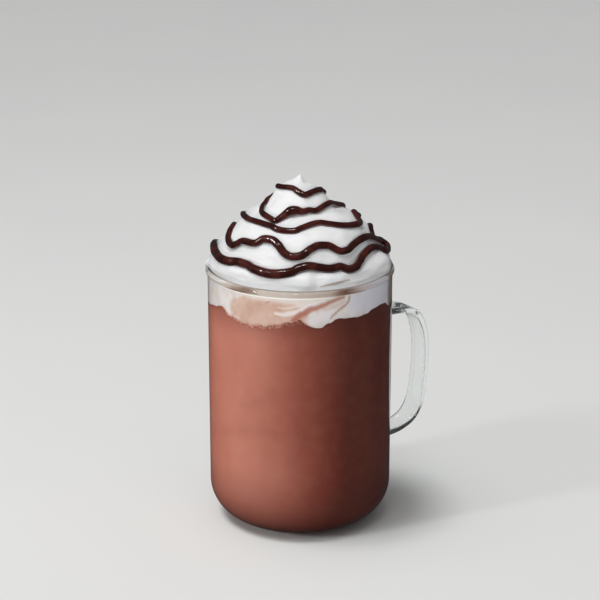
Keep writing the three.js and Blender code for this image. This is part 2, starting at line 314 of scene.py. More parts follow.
# %% The edge of the cream in the glass
MEAN_EDGE = -14
EDGE_BENDS = [
    (-78, -15.6), (-66, -13.8), (-57, -12.5), (-50, -15.2), (-41, -16.6), (-31, -17.4), (-23, -17),
    (-14, -16), (-7, -14.5), (0, -13.5), (4, -15), (8, -16.3), (13, -16.5), (18, -15.1),
    (24, -13.1), (36, -14.1), (46, -13.8), (52, -12.8), (58, -12.1), (66, -12.6), (74, -15.2),
    (104, -12.6), (131, -16.4), (158, -13), (188, -15.8), (216, -12.4), (250, -14.6),
]
RAGGED = [(0.16, 23, 0.4), (0.11, 41, 2.1), (0.07, 77, 4.0)]


def cream_edge(angle):
    """The edge's height below the rim, at any angle round the mug."""
    turns = np.mod(np.asarray(angle, float) - EDGE_BENDS[0][0], 360) + EDGE_BENDS[0][0]
    bends = np.array(EDGE_BENDS + [(EDGE_BENDS[0][0] + 360, EDGE_BENDS[0][1])])
    i = np.clip(np.searchsorted(bends[:, 0], turns, side="right") - 1, 0, len(EDGE_BENDS) - 1)
    share = smoothstep(turns, bends[i, 0], bends[i + 1, 0])
    height = bends[i, 1] + (bends[i + 1, 1] - bends[i, 1]) * share
    waves = [size * np.sin(np.radians(turns) * count + start) for size, count, start in RAGGED]
    return height + sum(waves)


def meeting(radius, angle):
    """The height of the face where cream and drink meet."""
    return MEAN_EDGE + (cream_edge(angle) - MEAN_EDGE) * (radius / FILL_RADIUS) ** 2


print(f"the cream's edge lies {-cream_edge(0):.1f} mm below the rim in front")

# %% [markdown]
# ## The drink
# The drink touches the glass everywhere. If it only came close, a thin bright gap would show
# between them, so its surface lies a tenth of a millimetre inside the wall and the base. Its top
# lies just inside the cream. One more ring right at the edge keeps the wall's shading flat there.

# %% Fill the mug
INTO_WALL = 0.1
CRISP = 0.04
DRINK_ROWS = 30
TOP_SHARES = (0.97, 0.9, 0.75, 0.55, 0.35, 0.15)


def drink_rings():
    angles = np.arange(AROUND) * 360 / AROUND
    radius = WALL_INSIDE + INTO_WALL
    corner = INNER_CORNER + INTO_WALL
    inner_middle = (WALL_INSIDE - INNER_CORNER, BASE_TOP + INNER_CORNER)
    bottom = arc(inner_middle, corner, -90, 0, INNER_STEPS)
    bottom = np.vstack([[[out, bottom[0, 1]] for out in FLAT_RINGS], bottom])
    rings = [place(out, up, angles) for out, up in bottom]
    lowest = bottom[-1, 1]
    top = meeting(radius, angles) + GAP
    for share in np.linspace(0, 1, DRINK_ROWS + 1)[1:]:
        rings.append(place(radius, lowest + (top - lowest) * share, angles))
    rings.insert(-1, place(radius, top - CRISP, angles))
    for share in TOP_SHARES:
        rings.append(place(radius * share, meeting(radius * share, angles) + GAP, angles))
    return np.array(rings)


rings = drink_rings()
drink = add_piece("milk_chocolate", *closed_mesh(rings, rings[0].mean(axis=0), rings[-1].mean(axis=0)))

# %% [markdown]
# ## The whipped cream
# The cream was piped in a spiral, so it is a dome with round coils that climb it, soft lobes and
# hollows, and a small peak. Sculpting could do this by hand. Here a dome gets swellings from
# formulas, which is exact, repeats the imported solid's own form, and tells the sauce where the
# surface is.

# %% The dome and its coils
CREAM_SHOULDER = 42.5
CREAM_TAPER = 1.47
DOME_TOP = 41.4
TIP_START = 39
OVER_LIP = 2.2
SPIRAL_PITCH = 18
SPIRAL_DEPTH = 1.5
SPIRAL_ROUND = 0.25
SPIRAL_MEAN = 1.55
COIL_BEGINS = (3, 9)
COIL_ENDS = (34, 41)
CREASE_BENDS = [(-100, 12.5), (0, 9.8), (100, 12), (260, 12.5 - SPIRAL_PITCH)]


def dome_radius(height):
    height = np.asarray(height, float)

    def opened(at):
        return CREAM_SHOULDER * (1 - (np.maximum(at, 0) / DOME_TOP) ** CREAM_TAPER)

    dome = np.minimum(opened(height), FILL_RADIUS + OVER_LIP * smoothstep(height, 0, 1))
    tip = opened(TIP_START) * (CREAM_RISE - height) / (CREAM_RISE - TIP_START)
    return np.where(height > TIP_START, tip, dome)


def crease_height(angle):
    """The height of the crease between two coils. It drops by one pitch for each turn round."""
    first = CREASE_BENDS[0][0]
    angle = np.asarray(angle, float) - first
    turns, angle = np.floor(angle / 360), np.mod(angle, 360) + first
    height = CREASE_BENDS[0][1] - turns * SPIRAL_PITCH
    for (start, up), (end, up_next) in zip(CREASE_BENDS, CREASE_BENDS[1:]):
        height = height + (up_next - up) * smoothstep(angle, start, end)
    return height


def coil(height, angle):
    turns = (height - crease_height(angle)) / SPIRAL_PITCH
    bulge = np.hypot(np.sin(np.pi * turns), SPIRAL_ROUND)
    fade = smoothstep(height, *COIL_BEGINS) * (1 - smoothstep(height, *COIL_ENDS))
    return SPIRAL_DEPTH * (2 * bulge - SPIRAL_MEAN) * fade


print(f"the dome is {float(dome_radius(20)):.1f} mm in radius 20 mm above the rim")

# %% [markdown]
# Each lobe is a soft round swelling or hollow: where it is, how wide, and how far it stands out.
# Finer folds lie along the coils, because the nozzle dragged them that way. They come from noise
# that is stretched round the mug.

# %% Lobes and folds
LOBES = [
    # angle, height, size, how far it stands out
    (68, 5, 6, 1.4), (40, 3, 7, -1.2), (5, 3.5, 5, 0.9), (-84, 1.2, 2.4, 1.6), (-98, 19, 4, -1.5),
    (-107, 11, 4, 0.7), (52, 26, 6, 1.0), (-90, 35, 4, 1.2), (105, 38, 5, -1.6), (113, 24.5, 5, -1.0),
    (92, 3.5, 3, -2), (96, 13.5, 3, 0.9), (140, 6, 9, 1.4), (185, 12, 8, -1.2), (230, 5, 8, 1.1),
    (160, 27, 7, 0.8), (64, 11, 6, 0.9), (88, 37.4, 2.4, 1), (11, 5.5, 3.2, -1.2),
]
FOLDS = [(0.55, 9, 7), (0.22, 5, 2.6), (0.05, 2.2, 1.1)]
LOBES_BEGIN = (0, 1.5)
FOLDS_BEGIN = (0, 4)
FOLDS_AT_TIP = 0.4
LEAN_STEP = 0.2


def wrapped(angle):
    return np.mod(angle + 180, 360) - 180


def swell(height, angle):
    radius = np.maximum(dome_radius(height), 4)
    total = 0
    for at, up, size, rise in LOBES:
        far = np.hypot(np.radians(wrapped(angle - at)) * radius, height - up) / size
        total = total + rise * np.exp(-far * far)
    return total * smoothstep(height, *LOBES_BEGIN)


def folds(height, angle):
    """Noise in three sizes, each [depth, length round the mug, height] in millimetres."""
    radius = dome_radius(height) + 3
    height, angle, radius = np.broadcast_arrays(height, angle, radius)
    turn = np.radians(angle)
    total = np.zeros(height.shape)
    for depth, long, high in FOLDS:
        spots = np.stack([radius * np.cos(turn) / long, radius * np.sin(turn) / long, height / high], -1)
        values = [noise.noise(Vector(spot)) for spot in spots.reshape(-1, 3).tolist()]
        total += depth * np.reshape(values, height.shape)
    calmed = 1 - (1 - FOLDS_AT_TIP) * smoothstep(height, *COIL_ENDS)
    return total * smoothstep(height, *FOLDS_BEGIN) * calmed


def on_cream(height, angle, off=0.0):
    """A place held off the cream's surface: its radius, and its height from the rim."""
    lean = (dome_radius(height - LEAN_STEP) - dome_radius(height + LEAN_STEP)) / (2 * LEAN_STEP)
    length = np.hypot(1, lean)
    out = coil(height, angle) + swell(height, angle) + folds(height, angle) + off
    tip = 1 - smoothstep(height, TIP_START, CREAM_RISE)
    return dome_radius(height) + out * tip / length, height + out * tip * lean / length + GAP


# %% [markdown]
# In the glass the cream lies against the wall, reaching just into it as the drink does. At the
# lip it follows the rolled edge and then bulges over it. In front it bulges less, so the lip
# shows. Low on the dome it never falls back behind the lip.

# %% Build the cream
CREAM_AROUND = 400
CREAM_ROWS = 165
BAND_ROWS = 30
CREAM_INTO_WALL = 0.12
LIP_ROLL = [(39.94, -1.3), (40.1, -0.7), (40.4, -0.3), (40.8, -0.04)]
DOME_START = 0.3
DRAWN_IN = 1.1
DRAWN_IN_UP_TO = (1.5, 6.5)
FRONT_FADE = (0.3, 0.9)
HELD_BY_LIP = (2, 6)
THINNEST = 0.15


def cream_rings():
    angles = np.arange(CREAM_AROUND) * 360 / CREAM_AROUND
    wall = WALL_INSIDE + CREAM_INTO_WALL
    rings = [place(wall * share, meeting(wall * share, angles), angles) for share in TOP_SHARES[::-1]]
    low, high = meeting(wall, angles), LIP_ROLL[0][1]
    rings.append(place(wall, low, angles))
    low = low + CRISP
    for share in np.linspace(0, 1, BAND_ROWS, endpoint=False):
        rings.append(place(wall, low + (high - low) * share, angles))
    rings += [place(out, up, angles) for out, up in LIP_ROLL]
    in_front = smoothstep(np.cos(np.radians(angles)), *FRONT_FADE)
    for height in np.linspace(DOME_START, CREAM_RISE, CREAM_ROWS, endpoint=False):
        out, up = on_cream(np.full(CREAM_AROUND, height), angles)
        out = out - DRAWN_IN * in_front * (1 - smoothstep(height, *DRAWN_IN_UP_TO))
        if height < HELD_BY_LIP[1]:
            out = np.maximum(out, LIP_ROLL[-1][0] - smoothstep(height, *HELD_BY_LIP))
        rings.append(place(np.maximum(out, THINNEST), up, angles))
    return np.array(rings)


rings = cream_rings()
peak = (0, 0, (RIM + CREAM_RISE + GAP) * MM)
cream = add_piece("piped_cream", *closed_mesh(rings, rings[0].mean(axis=0), peak))

# %% [markdown]
# The materials need to know where the edge runs, because foam and drink mingle along it. So each
# point of the two pieces keeps its own height above the edge.

# %% Mark the edge on both pieces
EDGE_MARK = "above_edge"


def mark_edge(piece):
    points = np.array([tuple(vertex.co) for vertex in piece.data.vertices]) / MM
    angles = np.degrees(np.arctan2(points[:, 1], points[:, 0])) - SEEN_SIDE
    above = points[:, 2] - RIM - cream_edge(angles)
    mark = piece.data.attributes.new(EDGE_MARK, "FLOAT", "POINT")
    mark.data.foreach_set("value", above.astype(np.float32))
    print(f"{piece.name}: {above.min():.1f} to {above.max():.1f} mm above the edge")


mark_edge(drink)
mark_edge(cream)

# %% [markdown]
# ## The chocolate sauce
# The sauce ran from a bottle in one long strand. It goes round the cream three and a half times,
# turns back at the right and goes round once more, lower down. A strand that lies as it fell has
# no rule, so its route is a list of bends on the cream, each with an angle, a height and a radius.
# A smooth line joins them.

# %% The route of the sauce
SAUCE_TURNS = [
    [(-102, 35, 1.2), (-84, 35.5, 1.3), (-41, 36.7, 1.4), (-20, 36.5, 1.45), (-3, 35.4, 1.55),
     (10, 34.5, 1.6), (24, 34.9, 1.55), (41, 35.3, 1.5), (60, 35.4, 1.5), (75, 35.1, 1.4),
     (88, 35.1, 1.3), (102, 35, 1.2), (116, 33.6, 1.2), (134, 31, 1.2), (160, 29.6, 1.2),
     (205, 29.4, 1.3), (238, 30.2, 1.3)],
    [(-106, 31.4, 1.3), (-87, 30.5, 1.4), (-79, 29, 1.45), (-63, 27.4, 1.5), (-41, 26.4, 1.55),
     (-31, 25.8, 1.6), (-26, 27.2, 1.85), (-20, 28.8, 2.2), (-13, 29.7, 2.65), (-6, 29.9, 2.4),
     (4, 29.7, 1.8), (15, 30.1, 1.6), (26, 29.8, 1.55), (36, 30.2, 1.55), (50, 30.7, 1.5),
     (67, 30.6, 1.5), (91, 28.5, 1.4), (109, 26.2, 1.4), (132, 23.2, 1.5), (165, 21.2, 1.5),
     (205, 19.8, 1.4), (236, 19, 1.3)],
    [(-108, 21, 1.3), (-90, 22.8, 1.4), (-67, 23.4, 1.5), (-44, 23.7, 1.5), (-32, 23.5, 1.55),
     (-22, 22.6, 1.6), (-6, 22.6, 1.65), (2, 23.8, 1.6), (13, 25.1, 1.55), (24, 25.4, 1.5),
     (33, 24.3, 1.5), (43, 22.8, 1.5), (53, 21.8, 1.55), (66, 20.9, 1.6), (74, 20.9, 1.6),
     (82, 22.2, 1.5), (91, 23.8, 1.45), (101, 22.4, 1.2), (113, 19.4, 1.3), (130, 17.6, 1.4),
     (160, 16, 1.5), (200, 14.8, 1.5), (236, 13.4, 1.4)],
    [(-108, 16.2, 1.45), (-90, 18.2, 1.6), (-80, 16.5, 1.75), (-73, 14.5, 1.8),
     (-63, 13.9, 1.85), (-57, 15, 1.8), (-51, 16.4, 1.8), (-38, 16.7, 1.8), (-31, 18.5, 1.95),
     (-24, 18.5, 2), (-18, 17.3, 2), (-11, 14.6, 1.95), (-6, 13.8, 1.95), (0, 14, 1.95),
     (9, 16.3, 1.9), (15, 17.2, 1.9), (22, 17, 1.85), (33, 14.4, 1.75), (38, 14.5, 1.75),
     (46, 15.7, 1.75), (55, 16.4, 1.8), (66, 16.2, 1.8), (79, 14.4, 1.8), (94, 11, 1.85),
     (99, 8.8, 1.85), (94, 7, 1.9), (80, 8.4, 1.9), (72, 11, 1.9), (61, 12.3, 1.9),
     (53, 11.6, 1.95), (46, 9.7, 2), (39, 8, 2.05), (34, 7.8, 2.05), (28, 9.4, 2.05),
     (21, 9.1, 2.05), (13, 9.9, 2.1), (6, 10.5, 2.15), (-1, 9.7, 2.2), (-6, 8.2, 2.25),
     (-18, 7, 2.25), (-31, 8, 2.25), (-39, 9.2, 2.2), (-47, 9.2, 2.15), (-54, 8.2, 2.15),
     (-63, 7.8, 2.15), (-75, 8.2, 2.1), (-89, 8.6, 2.05), (-102, 7.2, 1.85), (-113, 5.2, 1.6),
     (-124, 4.4, 1.5), (-155, 4.8, 1.6), (-190, 8, 1.6), (-220, 11.6, 1.6), (-247, 13.6, 1.5),
     (-261, 16.4, 1.4), (-269, 16.6, 1.4), (-276, 15.4, 1.4), (-284, 15, 1.3)],
]
DEGREES_PER_UNIT = 10
SAUCE_STEPS = 2400


def whole_route(turns):
    """All turns in one list, each a full circle further round than the last."""
    return [(angle + 360 * i, up, size) for i, turn in enumerate(turns) for angle, up, size in turn]


def on_the_way(bends, steps):
    """The bends joined smoothly, with angles scaled so that they weigh like millimetres."""
    flat = [(angle / DEGREES_PER_UNIT, up, size) for angle, up, size in bends]
    line = smooth_line(flat, steps)
    line[:, 0] *= DEGREES_PER_UNIT
    return line


route = on_the_way(whole_route(SAUCE_TURNS), SAUCE_STEPS)
print(f"the sauce goes round {np.abs(np.diff(route[:, 0])).sum() / 360:.1f} times")

# %% [markdown]
# Thick sauce keeps a round back, sinks a little into the cream and flattens underneath. A curve
# with a bevel would be round all over and would lean with the curve's own twist. Here each ring
# stands square on the cream's surface instead, and the rings shrink to round ends.

# %% Lay the strand on the cream
SAUCE_SIDES = 20
SAUCE_SUNK = 0.4
SAUCE_UNDERSIDE = 0.6
BLUNT_END = 0.02


def unit(vectors):
    return vectors / np.linalg.norm(vectors, axis=-1, keepdims=True)


def strand(line):
    """Rings of points round a line of [angle, height, radius] rows on the cream."""
    angle, height, radius = line.T
    held = radius * (1 - 2 * SAUCE_SUNK)
    middle = place(*on_cream(height, angle, held), angle)
    outward = unit(place(*on_cream(height, angle, held + 1), angle) - middle)
    along = unit(np.gradient(middle, axis=0))
    across = unit(np.cross(outward, along))
    outward = np.cross(along, across)
    gone = np.concatenate([[0], np.cumsum(np.linalg.norm(np.diff(middle, axis=0), axis=1))]) / MM
    from_end = np.minimum(gone, gone[-1] - gone)
    round_end = np.sqrt(1 - (1 - np.clip(from_end / radius, BLUNT_END, 1)) ** 2)
    size = (radius * round_end * MM)[:, None, None]
    turn = np.linspace(0, 2 * np.pi, SAUCE_SIDES, endpoint=False)
    rise = np.where(np.sin(turn) > 0, np.sin(turn), np.sin(turn) * SAUCE_UNDERSIDE)
    ring = across[:, None] * np.cos(turn)[None, :, None] + outward[:, None] * rise[None, :, None]
    rings = middle[:, None] + ring * size
    print(f"a strand of {gone[-1]:.0f} mm")
    return closed_mesh(rings, rings[0].mean(axis=0), rings[-1].mean(axis=0))


sauce = add_piece("sauce_strand", *strand(route))

# %% [markdown]
# ## Bubbles along the edge
# Where the cream meets the drink, a few bubbles are caught against the glass. They show as tiny
# dark beads, most of them in front. Scattering them by hand would take long, so a seeded draw
# sets them out, more densely where the picture has them.

# %% Scatter the bubbles
draw = random.Random(7)
BUBBLE_STRETCHES = [
    # first angle, last angle, how many, radius
    (-9, 2.5, 11, 0.4),
    (-16, -9, 5, 0.24),
    (-26, -16, 9, 0.3),
    (-60, 180, 40, 0.18),
]
BUBBLE_PLACES = (0.1, 0.9)
BUBBLE_SIZES = (0.65, 1.1)
BUBBLE_ABOVE_EDGE = 0.25
BUBBLE_SPREAD = 0.15
BUBBLE_SUNK = 0.35
BUBBLE_RINGS = 5
BUBBLE_SIDES = 10


def bubble(centre, radius):
    down = np.radians(np.linspace(-90, 90, BUBBLE_RINGS + 2)[1:-1])[:, None]
    about = np.radians(np.arange(BUBBLE_SIDES) * 360 / BUBBLE_SIDES)[None, :]
    ball = [np.cos(down) * np.cos(about), np.cos(down) * np.sin(about), np.sin(down) + 0 * about]
    rings = centre + np.stack(ball, axis=-1) * radius
    return closed_mesh(rings, centre - (0, 0, radius), centre + (0, 0, radius))


def joined_meshes(parts):
    """The points and faces of several meshes as those of one."""
    points, faces, count = [], [], 0
    for some_points, some_faces in parts:
        points.append(some_points)
        faces += [[corner + count for corner in face] for face in some_faces]
        count += len(some_points)
    return np.vstack(points), faces


def bubbles():
    made = []
    for start, end, count, size in BUBBLE_STRETCHES:
        for i in range(count):
            angle = start + (end - start) * (i + draw.uniform(*BUBBLE_PLACES)) / count
            up = float(cream_edge(angle)) + draw.gauss(BUBBLE_ABOVE_EDGE, BUBBLE_SPREAD)
            radius = size * draw.uniform(*BUBBLE_SIZES)
            out = WALL_INSIDE + CREAM_INTO_WALL - radius * BUBBLE_SUNK
            made.append(bubble(place(out, up, angle), radius * MM))
    return made


beads = bubbles()
edge_bubbles = add_piece("edge_bubbles", *joined_meshes(beads))
print(f"{len(beads)} bubbles")

# %% [markdown]
# ## Building materials
# A node material is a small program. The helpers below keep each one short to read: add a node
# with its settings, link a value or a socket into it, and take its output further.

# %% Helpers for nodes
FLOAT, VECTOR = "NodeSocketFloat", "NodeSocketVector"


def add_node(tree, kind, inputs=None, **settings):
    """A new node. Each input, by name or number, is a value or another node's socket."""
    node = tree.nodes.new(kind)
    for name, value in settings.items():
        setattr(node, name, value)
    for name, value in (inputs or {}).items():
        if isinstance(value, bpy.types.NodeSocket):
            tree.links.new(value, node.inputs[name])
        else:
            node.inputs[name].default_value = value
    return node


def calculate(tree, operation, *values):
    return add_node(tree, "ShaderNodeMath", dict(enumerate(values)), operation=operation).outputs[0]


def vector_step(tree, operation, *values):
    return add_node(tree, "ShaderNodeVectorMath", dict(enumerate(values)), operation=operation)


def step_between(tree, value, low, high, to_low=0.0, to_high=1.0):
    """A soft step from one value to another."""
    inputs = {"Value": value, "From Min": low, "From Max": high, "To Min": to_low, "To Max": to_high}
    return add_node(tree, "ShaderNodeMapRange", inputs, interpolation_type="SMOOTHSTEP").outputs["Result"]


def blend_colours(tree, mask, first, second):
    inputs = {0: mask, 6: first, 7: second}
    return add_node(tree, "ShaderNodeMix", inputs, data_type="RGBA").outputs[2]


def new_group(name, inputs, outputs):
    """A node group with named sockets, each input given as name: (kind, value)."""
    group = bpy.data.node_groups.new(name, "ShaderNodeTree")
    for socket_name, (kind, value) in inputs.items():
        socket = group.interface.new_socket(socket_name, in_out="INPUT", socket_type=kind)
        socket.default_value = value
    for socket_name, kind in outputs.items():
        group.interface.new_socket(socket_name, in_out="OUTPUT", socket_type=kind)
    return group, group.nodes.new("NodeGroupInput"), group.nodes.new("NodeGroupOutput")


def use_group(tree, group, inputs=None):
    return add_node(tree, "ShaderNodeGroup", inputs, node_tree=group)


def new_material(name):
    material = bpy.data.materials.new(name)
    material.use_nodes = True
    tree = material.node_tree
    return material, tree, tree.nodes["Principled BSDF"]


def colour(red, green, blue):
    """A colour from screen values of 0 to 255, as the linear values that shaders take."""
    screen = np.array([red, green, blue]) / 255
    linear = np.where(screen <= 0.04045, screen / 12.92, ((screen + 0.055) / 1.055) ** 2.4)
    return (*linear.tolist(), 1.0)


# %% [markdown]
# ## Effects that several materials share
# A cloud is soft noise in several sizes at once. Drink, cream, sauce, glass and floor are all a
# little uneven, each on its own scale, so one node group makes the clouds for all of them.

# %% The cloud group
cloud_group, group_in, group_out = new_group(
    "soft cloud",
    {
        "Size": (FLOAT, 10.0), "Stretch": (VECTOR, (1, 1, 1)),
        "Detail": (FLOAT, 3.0), "Contrast": (FLOAT, 1.0),
    },
    {"Value": FLOAT},
)
spot = add_node(cloud_group, "ShaderNodeTexCoord").outputs["Object"]
stretched = vector_step(cloud_group, "MULTIPLY", spot, group_in.outputs["Stretch"]).outputs[0]
scale = calculate(cloud_group, "DIVIDE", 1 / MM, group_in.outputs["Size"])
grain = add_node(
    cloud_group,
    "ShaderNodeTexNoise",
    {"Vector": stretched, "Scale": scale, "Detail": group_in.outputs["Detail"], "Roughness": 0.5},
).outputs["Fac"]
centred = calculate(cloud_group, "SUBTRACT", grain, 0.5)
spread = calculate(cloud_group, "MULTIPLY_ADD", centred, group_in.outputs["Contrast"], 0.5)
cloud_group.links.new(spread, group_out.inputs["Value"])
print("cloud group made")

# %% [markdown]
# The wall map tells a material where on the round wall it is: millimetres round it from the seen
# side, and millimetres from the rim. An unwrapped mesh could carry this, but the mug's own axis
# gives it without any unwrapping. The two ends of the map meet at the very back, and a tone that
# differs between them shows an upright seam there, as the drink's does. A little noise makes the
# places waver, as liquids do.

# %% The wall map group
WANDER_SCALE = 260.0

map_group, group_in, group_out = new_group(
    "wall map", {"Waver": (FLOAT, 0.0)}, {"Place": VECTOR, "Height": FLOAT}
)
spot = add_node(map_group, "ShaderNodeTexCoord").outputs["Object"]
turned_to = add_node(
    map_group,
    "ShaderNodeVectorRotate",
    {"Vector": spot, "Angle": math.radians(-SEEN_SIDE)},
    rotation_type="Z_AXIS",
).outputs[0]
axes = add_node(map_group, "ShaderNodeSeparateXYZ", {0: turned_to}).outputs
turn = calculate(map_group, "ARCTAN2", axes["Y"], axes["X"])
along = calculate(map_group, "MULTIPLY", turn, WALL_INSIDE)
height = calculate(map_group, "MULTIPLY_ADD", axes["Z"], 1 / MM, -RIM)
flat = add_node(map_group, "ShaderNodeCombineXYZ", {"X": along, "Y": height}).outputs[0]
wander = add_node(map_group, "ShaderNodeTexNoise", {"Vector": spot, "Scale": WANDER_SCALE, "Detail": 2.0})
centred = vector_step(map_group, "SUBTRACT", wander.outputs["Color"], (0.5, 0.5, 0.5)).outputs[0]
moved = add_node(
    map_group, "ShaderNodeVectorMath", {0: centred, "Scale": group_in.outputs["Waver"]}, operation="SCALE"
).outputs[0]
wavering = vector_step(map_group, "ADD", flat, moved).outputs[0]
flattened = vector_step(map_group, "MULTIPLY", wavering, (1, 1, 0)).outputs[0]
map_group.links.new(flattened, group_out.inputs["Place"])
map_group.links.new(height, group_out.inputs["Height"])
print("wall map group made")

# %% [markdown]
# A streak is a soft line between two places on the wall map, with a width at each end. Painting
# such lines into a picture would need the picture. As a group, a streak is only the distance from
# a line, and several in a row make a curved trail, a stain or a whole patch of foam.

# %% The streak group
streak_group, group_in, group_out = new_group(
    "streak",
    {
        "Place": (VECTOR, (0, 0, 0)), "From": (VECTOR, (0, 0, 0)), "To": (VECTOR, (1, 0, 0)),
        "Wide from": (FLOAT, 1.0), "Wide to": (FLOAT, 1.0), "Soft": (FLOAT, 0.5),
    },
    {"Mask": FLOAT},
)
start, end = group_in.outputs["From"], group_in.outputs["To"]
reach = vector_step(streak_group, "SUBTRACT", end, start).outputs[0]
gone = vector_step(streak_group, "SUBTRACT", group_in.outputs["Place"], start).outputs[0]
shadow = vector_step(streak_group, "DOT_PRODUCT", gone, reach).outputs["Value"]
whole = vector_step(streak_group, "DOT_PRODUCT", reach, reach).outputs["Value"]
divided = add_node(streak_group, "ShaderNodeMath", {0: shadow, 1: whole}, operation="DIVIDE", use_clamp=True)
share = divided.outputs[0]
nearest = add_node(
    streak_group, "ShaderNodeVectorMath", {0: reach, "Scale": share}, operation="SCALE"
).outputs[0]
apart = vector_step(streak_group, "SUBTRACT", gone, nearest).outputs[0]
distance = vector_step(streak_group, "LENGTH", apart).outputs["Value"]
growth = calculate(streak_group, "SUBTRACT", group_in.outputs["Wide to"], group_in.outputs["Wide from"])
half_width = calculate(streak_group, "MULTIPLY_ADD", share, growth, group_in.outputs["Wide from"])
inner = calculate(streak_group, "SUBTRACT", half_width, group_in.outputs["Soft"])
outer = calculate(streak_group, "ADD", half_width, group_in.outputs["Soft"])
mask = step_between(streak_group, distance, inner, outer, 1.0, 0.0)
streak_group.links.new(mask, group_out.inputs["Mask"])
print("streak group made")

# %% [markdown]
# Liquids leave curved marks. A streak bends when straight ones are laid end to end and the
# strongest counts at each spot. One tone is then painted over another through it.

# %% Streaks in a row


def wall_place(angle, height):
    return (math.radians(angle) * WALL_INSIDE, height, 0)


def streak(tree, where, bends, soft):
    """A soft line through bends of (angle, height, half width), as one mask."""
    mask = None
    for (angle, up, wide), (angle_next, up_next, wide_next) in zip(bends, bends[1:]):
        piece = use_group(tree, streak_group, {
            "Place": where, "From": wall_place(angle, up), "To": wall_place(angle_next, up_next),
            "Wide from": wide, "Wide to": wide_next, "Soft": soft,
        }).outputs["Mask"]
        mask = piece if mask is None else calculate(tree, "MAXIMUM", mask, piece)
    return mask


def paint(tree, mask, strength, tone, over):
    """A tone with another laid over it, where the mask is, as strongly as asked."""
    return blend_colours(tree, calculate(tree, "MULTIPLY", mask, strength), tone, over)


# %% [markdown]
# On the left of the seen side, foam and drink mingle along the edge, in fine froth. Both the drink
# and the cream show it, each from its own side, so it is a group of its own. It reads the height
# above the edge from the points' mark, and says how frothy a spot is and where froth may be.

# %% The froth group
FOAM_SIDE = (-38, 4)
FOAM_SIDE_SOFT = 3

froth_group, group_in, group_out = new_group(
    "froth", {"Along": (FLOAT, 0.0)}, {"Above edge": FLOAT, "Froth": FLOAT, "Foam side": FLOAT}
)
above = add_node(froth_group, "ShaderNodeAttribute", attribute_name=EDGE_MARK).outputs["Fac"]
froth = use_group(froth_group, cloud_group, {"Size": 0.7, "Detail": 2.0, "Contrast": 1.4}).outputs["Value"]
along = group_in.outputs["Along"]
first, last = FOAM_SIDE
begins = step_between(froth_group, along, first - FOAM_SIDE_SOFT, first + FOAM_SIDE_SOFT)
ends = step_between(froth_group, along, last - FOAM_SIDE_SOFT, last + FOAM_SIDE_SOFT, 1.0, 0.0)
froth_group.links.new(above, group_out.inputs["Above edge"])
froth_group.links.new(froth, group_out.inputs["Froth"])
froth_group.links.new(calculate(froth_group, "MULTIPLY", begins, ends), group_out.inputs["Foam side"])
print("froth group made")

# %% [markdown]
# ## Clear glass
# Borosilicate glass is almost without colour. Its surface is not quite flat, so a faint bump from
# a cloud bends the reflections. A lamp's light has to reach the drink through the wall. Glass
# blocks that in a path tracer, unless shadow rays meet a transparent shader instead, which is
# what the Light Path node switches here.

# %% Make the glass
GLASS_TINT = colour(252, 255, 254)
GLASS_BENDS_LIGHT = 1.47


def clear_glass():
    material, tree, shader = new_material("clear_glass")
    shader.inputs["Base Color"].default_value = GLASS_TINT
    shader.inputs["Transmission Weight"].default_value = 1.0
    shader.inputs["IOR"].default_value = GLASS_BENDS_LIGHT
    shader.inputs["Specular IOR Level"].default_value = 0.5
    smudge = use_group(tree, cloud_group, {"Size": 30.0, "Detail": 2.0}).outputs["Value"]
    tree.links.new(step_between(tree, smudge, 0.3, 0.8, 0.0, 0.03), shader.inputs["Roughness"])
    waviness = use_group(tree, cloud_group, {"Size": 24.0, "Detail": 0.0}).outputs["Value"]
    bump = add_node(tree, "ShaderNodeBump", {"Height": waviness, "Strength": 0.05, "Distance": 0.6 * MM})
    tree.links.new(bump.outputs[0], shader.inputs["Normal"])
    lets_light_by = add_node(tree, "ShaderNodeBsdfTransparent", {"Color": GLASS_TINT})
    switch = add_node(tree, "ShaderNodeMixShader", {
        0: add_node(tree, "ShaderNodeLightPath").outputs["Is Shadow Ray"],
        1: shader.outputs[0],
        2: lets_light_by.outputs[0],
    })
    tree.links.new(switch.outputs[0], tree.nodes["Material Output"].inputs["Surface"])
    return material


glass_finish = clear_glass()
print("glass made")

# %% [markdown]
# ## The finish of the drink
# Milk and cocoa scatter light a few millimetres deep, so the drink is a subsurface material with
# no visible grain. Its left side is painted paler, as painted light where the lamp falls, and painted
# shade darkens it under the cream, at its edge and towards its base. Soft clouds and a few faint
# trails drift through it, because cream sinks into it slowly. Below the foam it carries pale flecks
# of froth.

# %% The browns of the drink
# The paler brown is painted light on the lit left side, and also the tone of the paler clouds.
DRINK_BROWN, CLOUD_AND_LIT_BROWN = colour(146, 65, 50), colour(175, 113, 96)
TRAIL_BROWN = colour(140, 78, 62)
SPECKLE_BROWN = colour(190, 124, 104)
# Painted shade: a darker brown under the cream, towards the base and just below the cream's edge.
PAINTED_SHADE_BROWN = colour(104, 46, 34)
EDGE_SHADE_BROWN = colour(120, 60, 48)
PALE_FROTH = colour(216, 158, 138)
LIT_SIDE_FROM, LIT_SIDE_TO = 12, -20
SHADE_UNDER_CREAM = (-26, -13, 0.0, 0.5)
SHADE_TO_BASE = (-84, -116, 0.0, 0.7)
SHADE_AT_EDGE = (-2, -0.4, 0.0, 0.45)
TRAIL_SOFT = 4
TRAILS = [
    [(-66, -74, 1), (-46, -70, 2), (-26, -66, 2), (-6, -67, 1)],
    [(-38, -56, 1), (-22, -51, 1.5), (-14, -46, 1)],
    [(-4, -78, 1), (10, -60, 2), (16, -34, 1)],
]


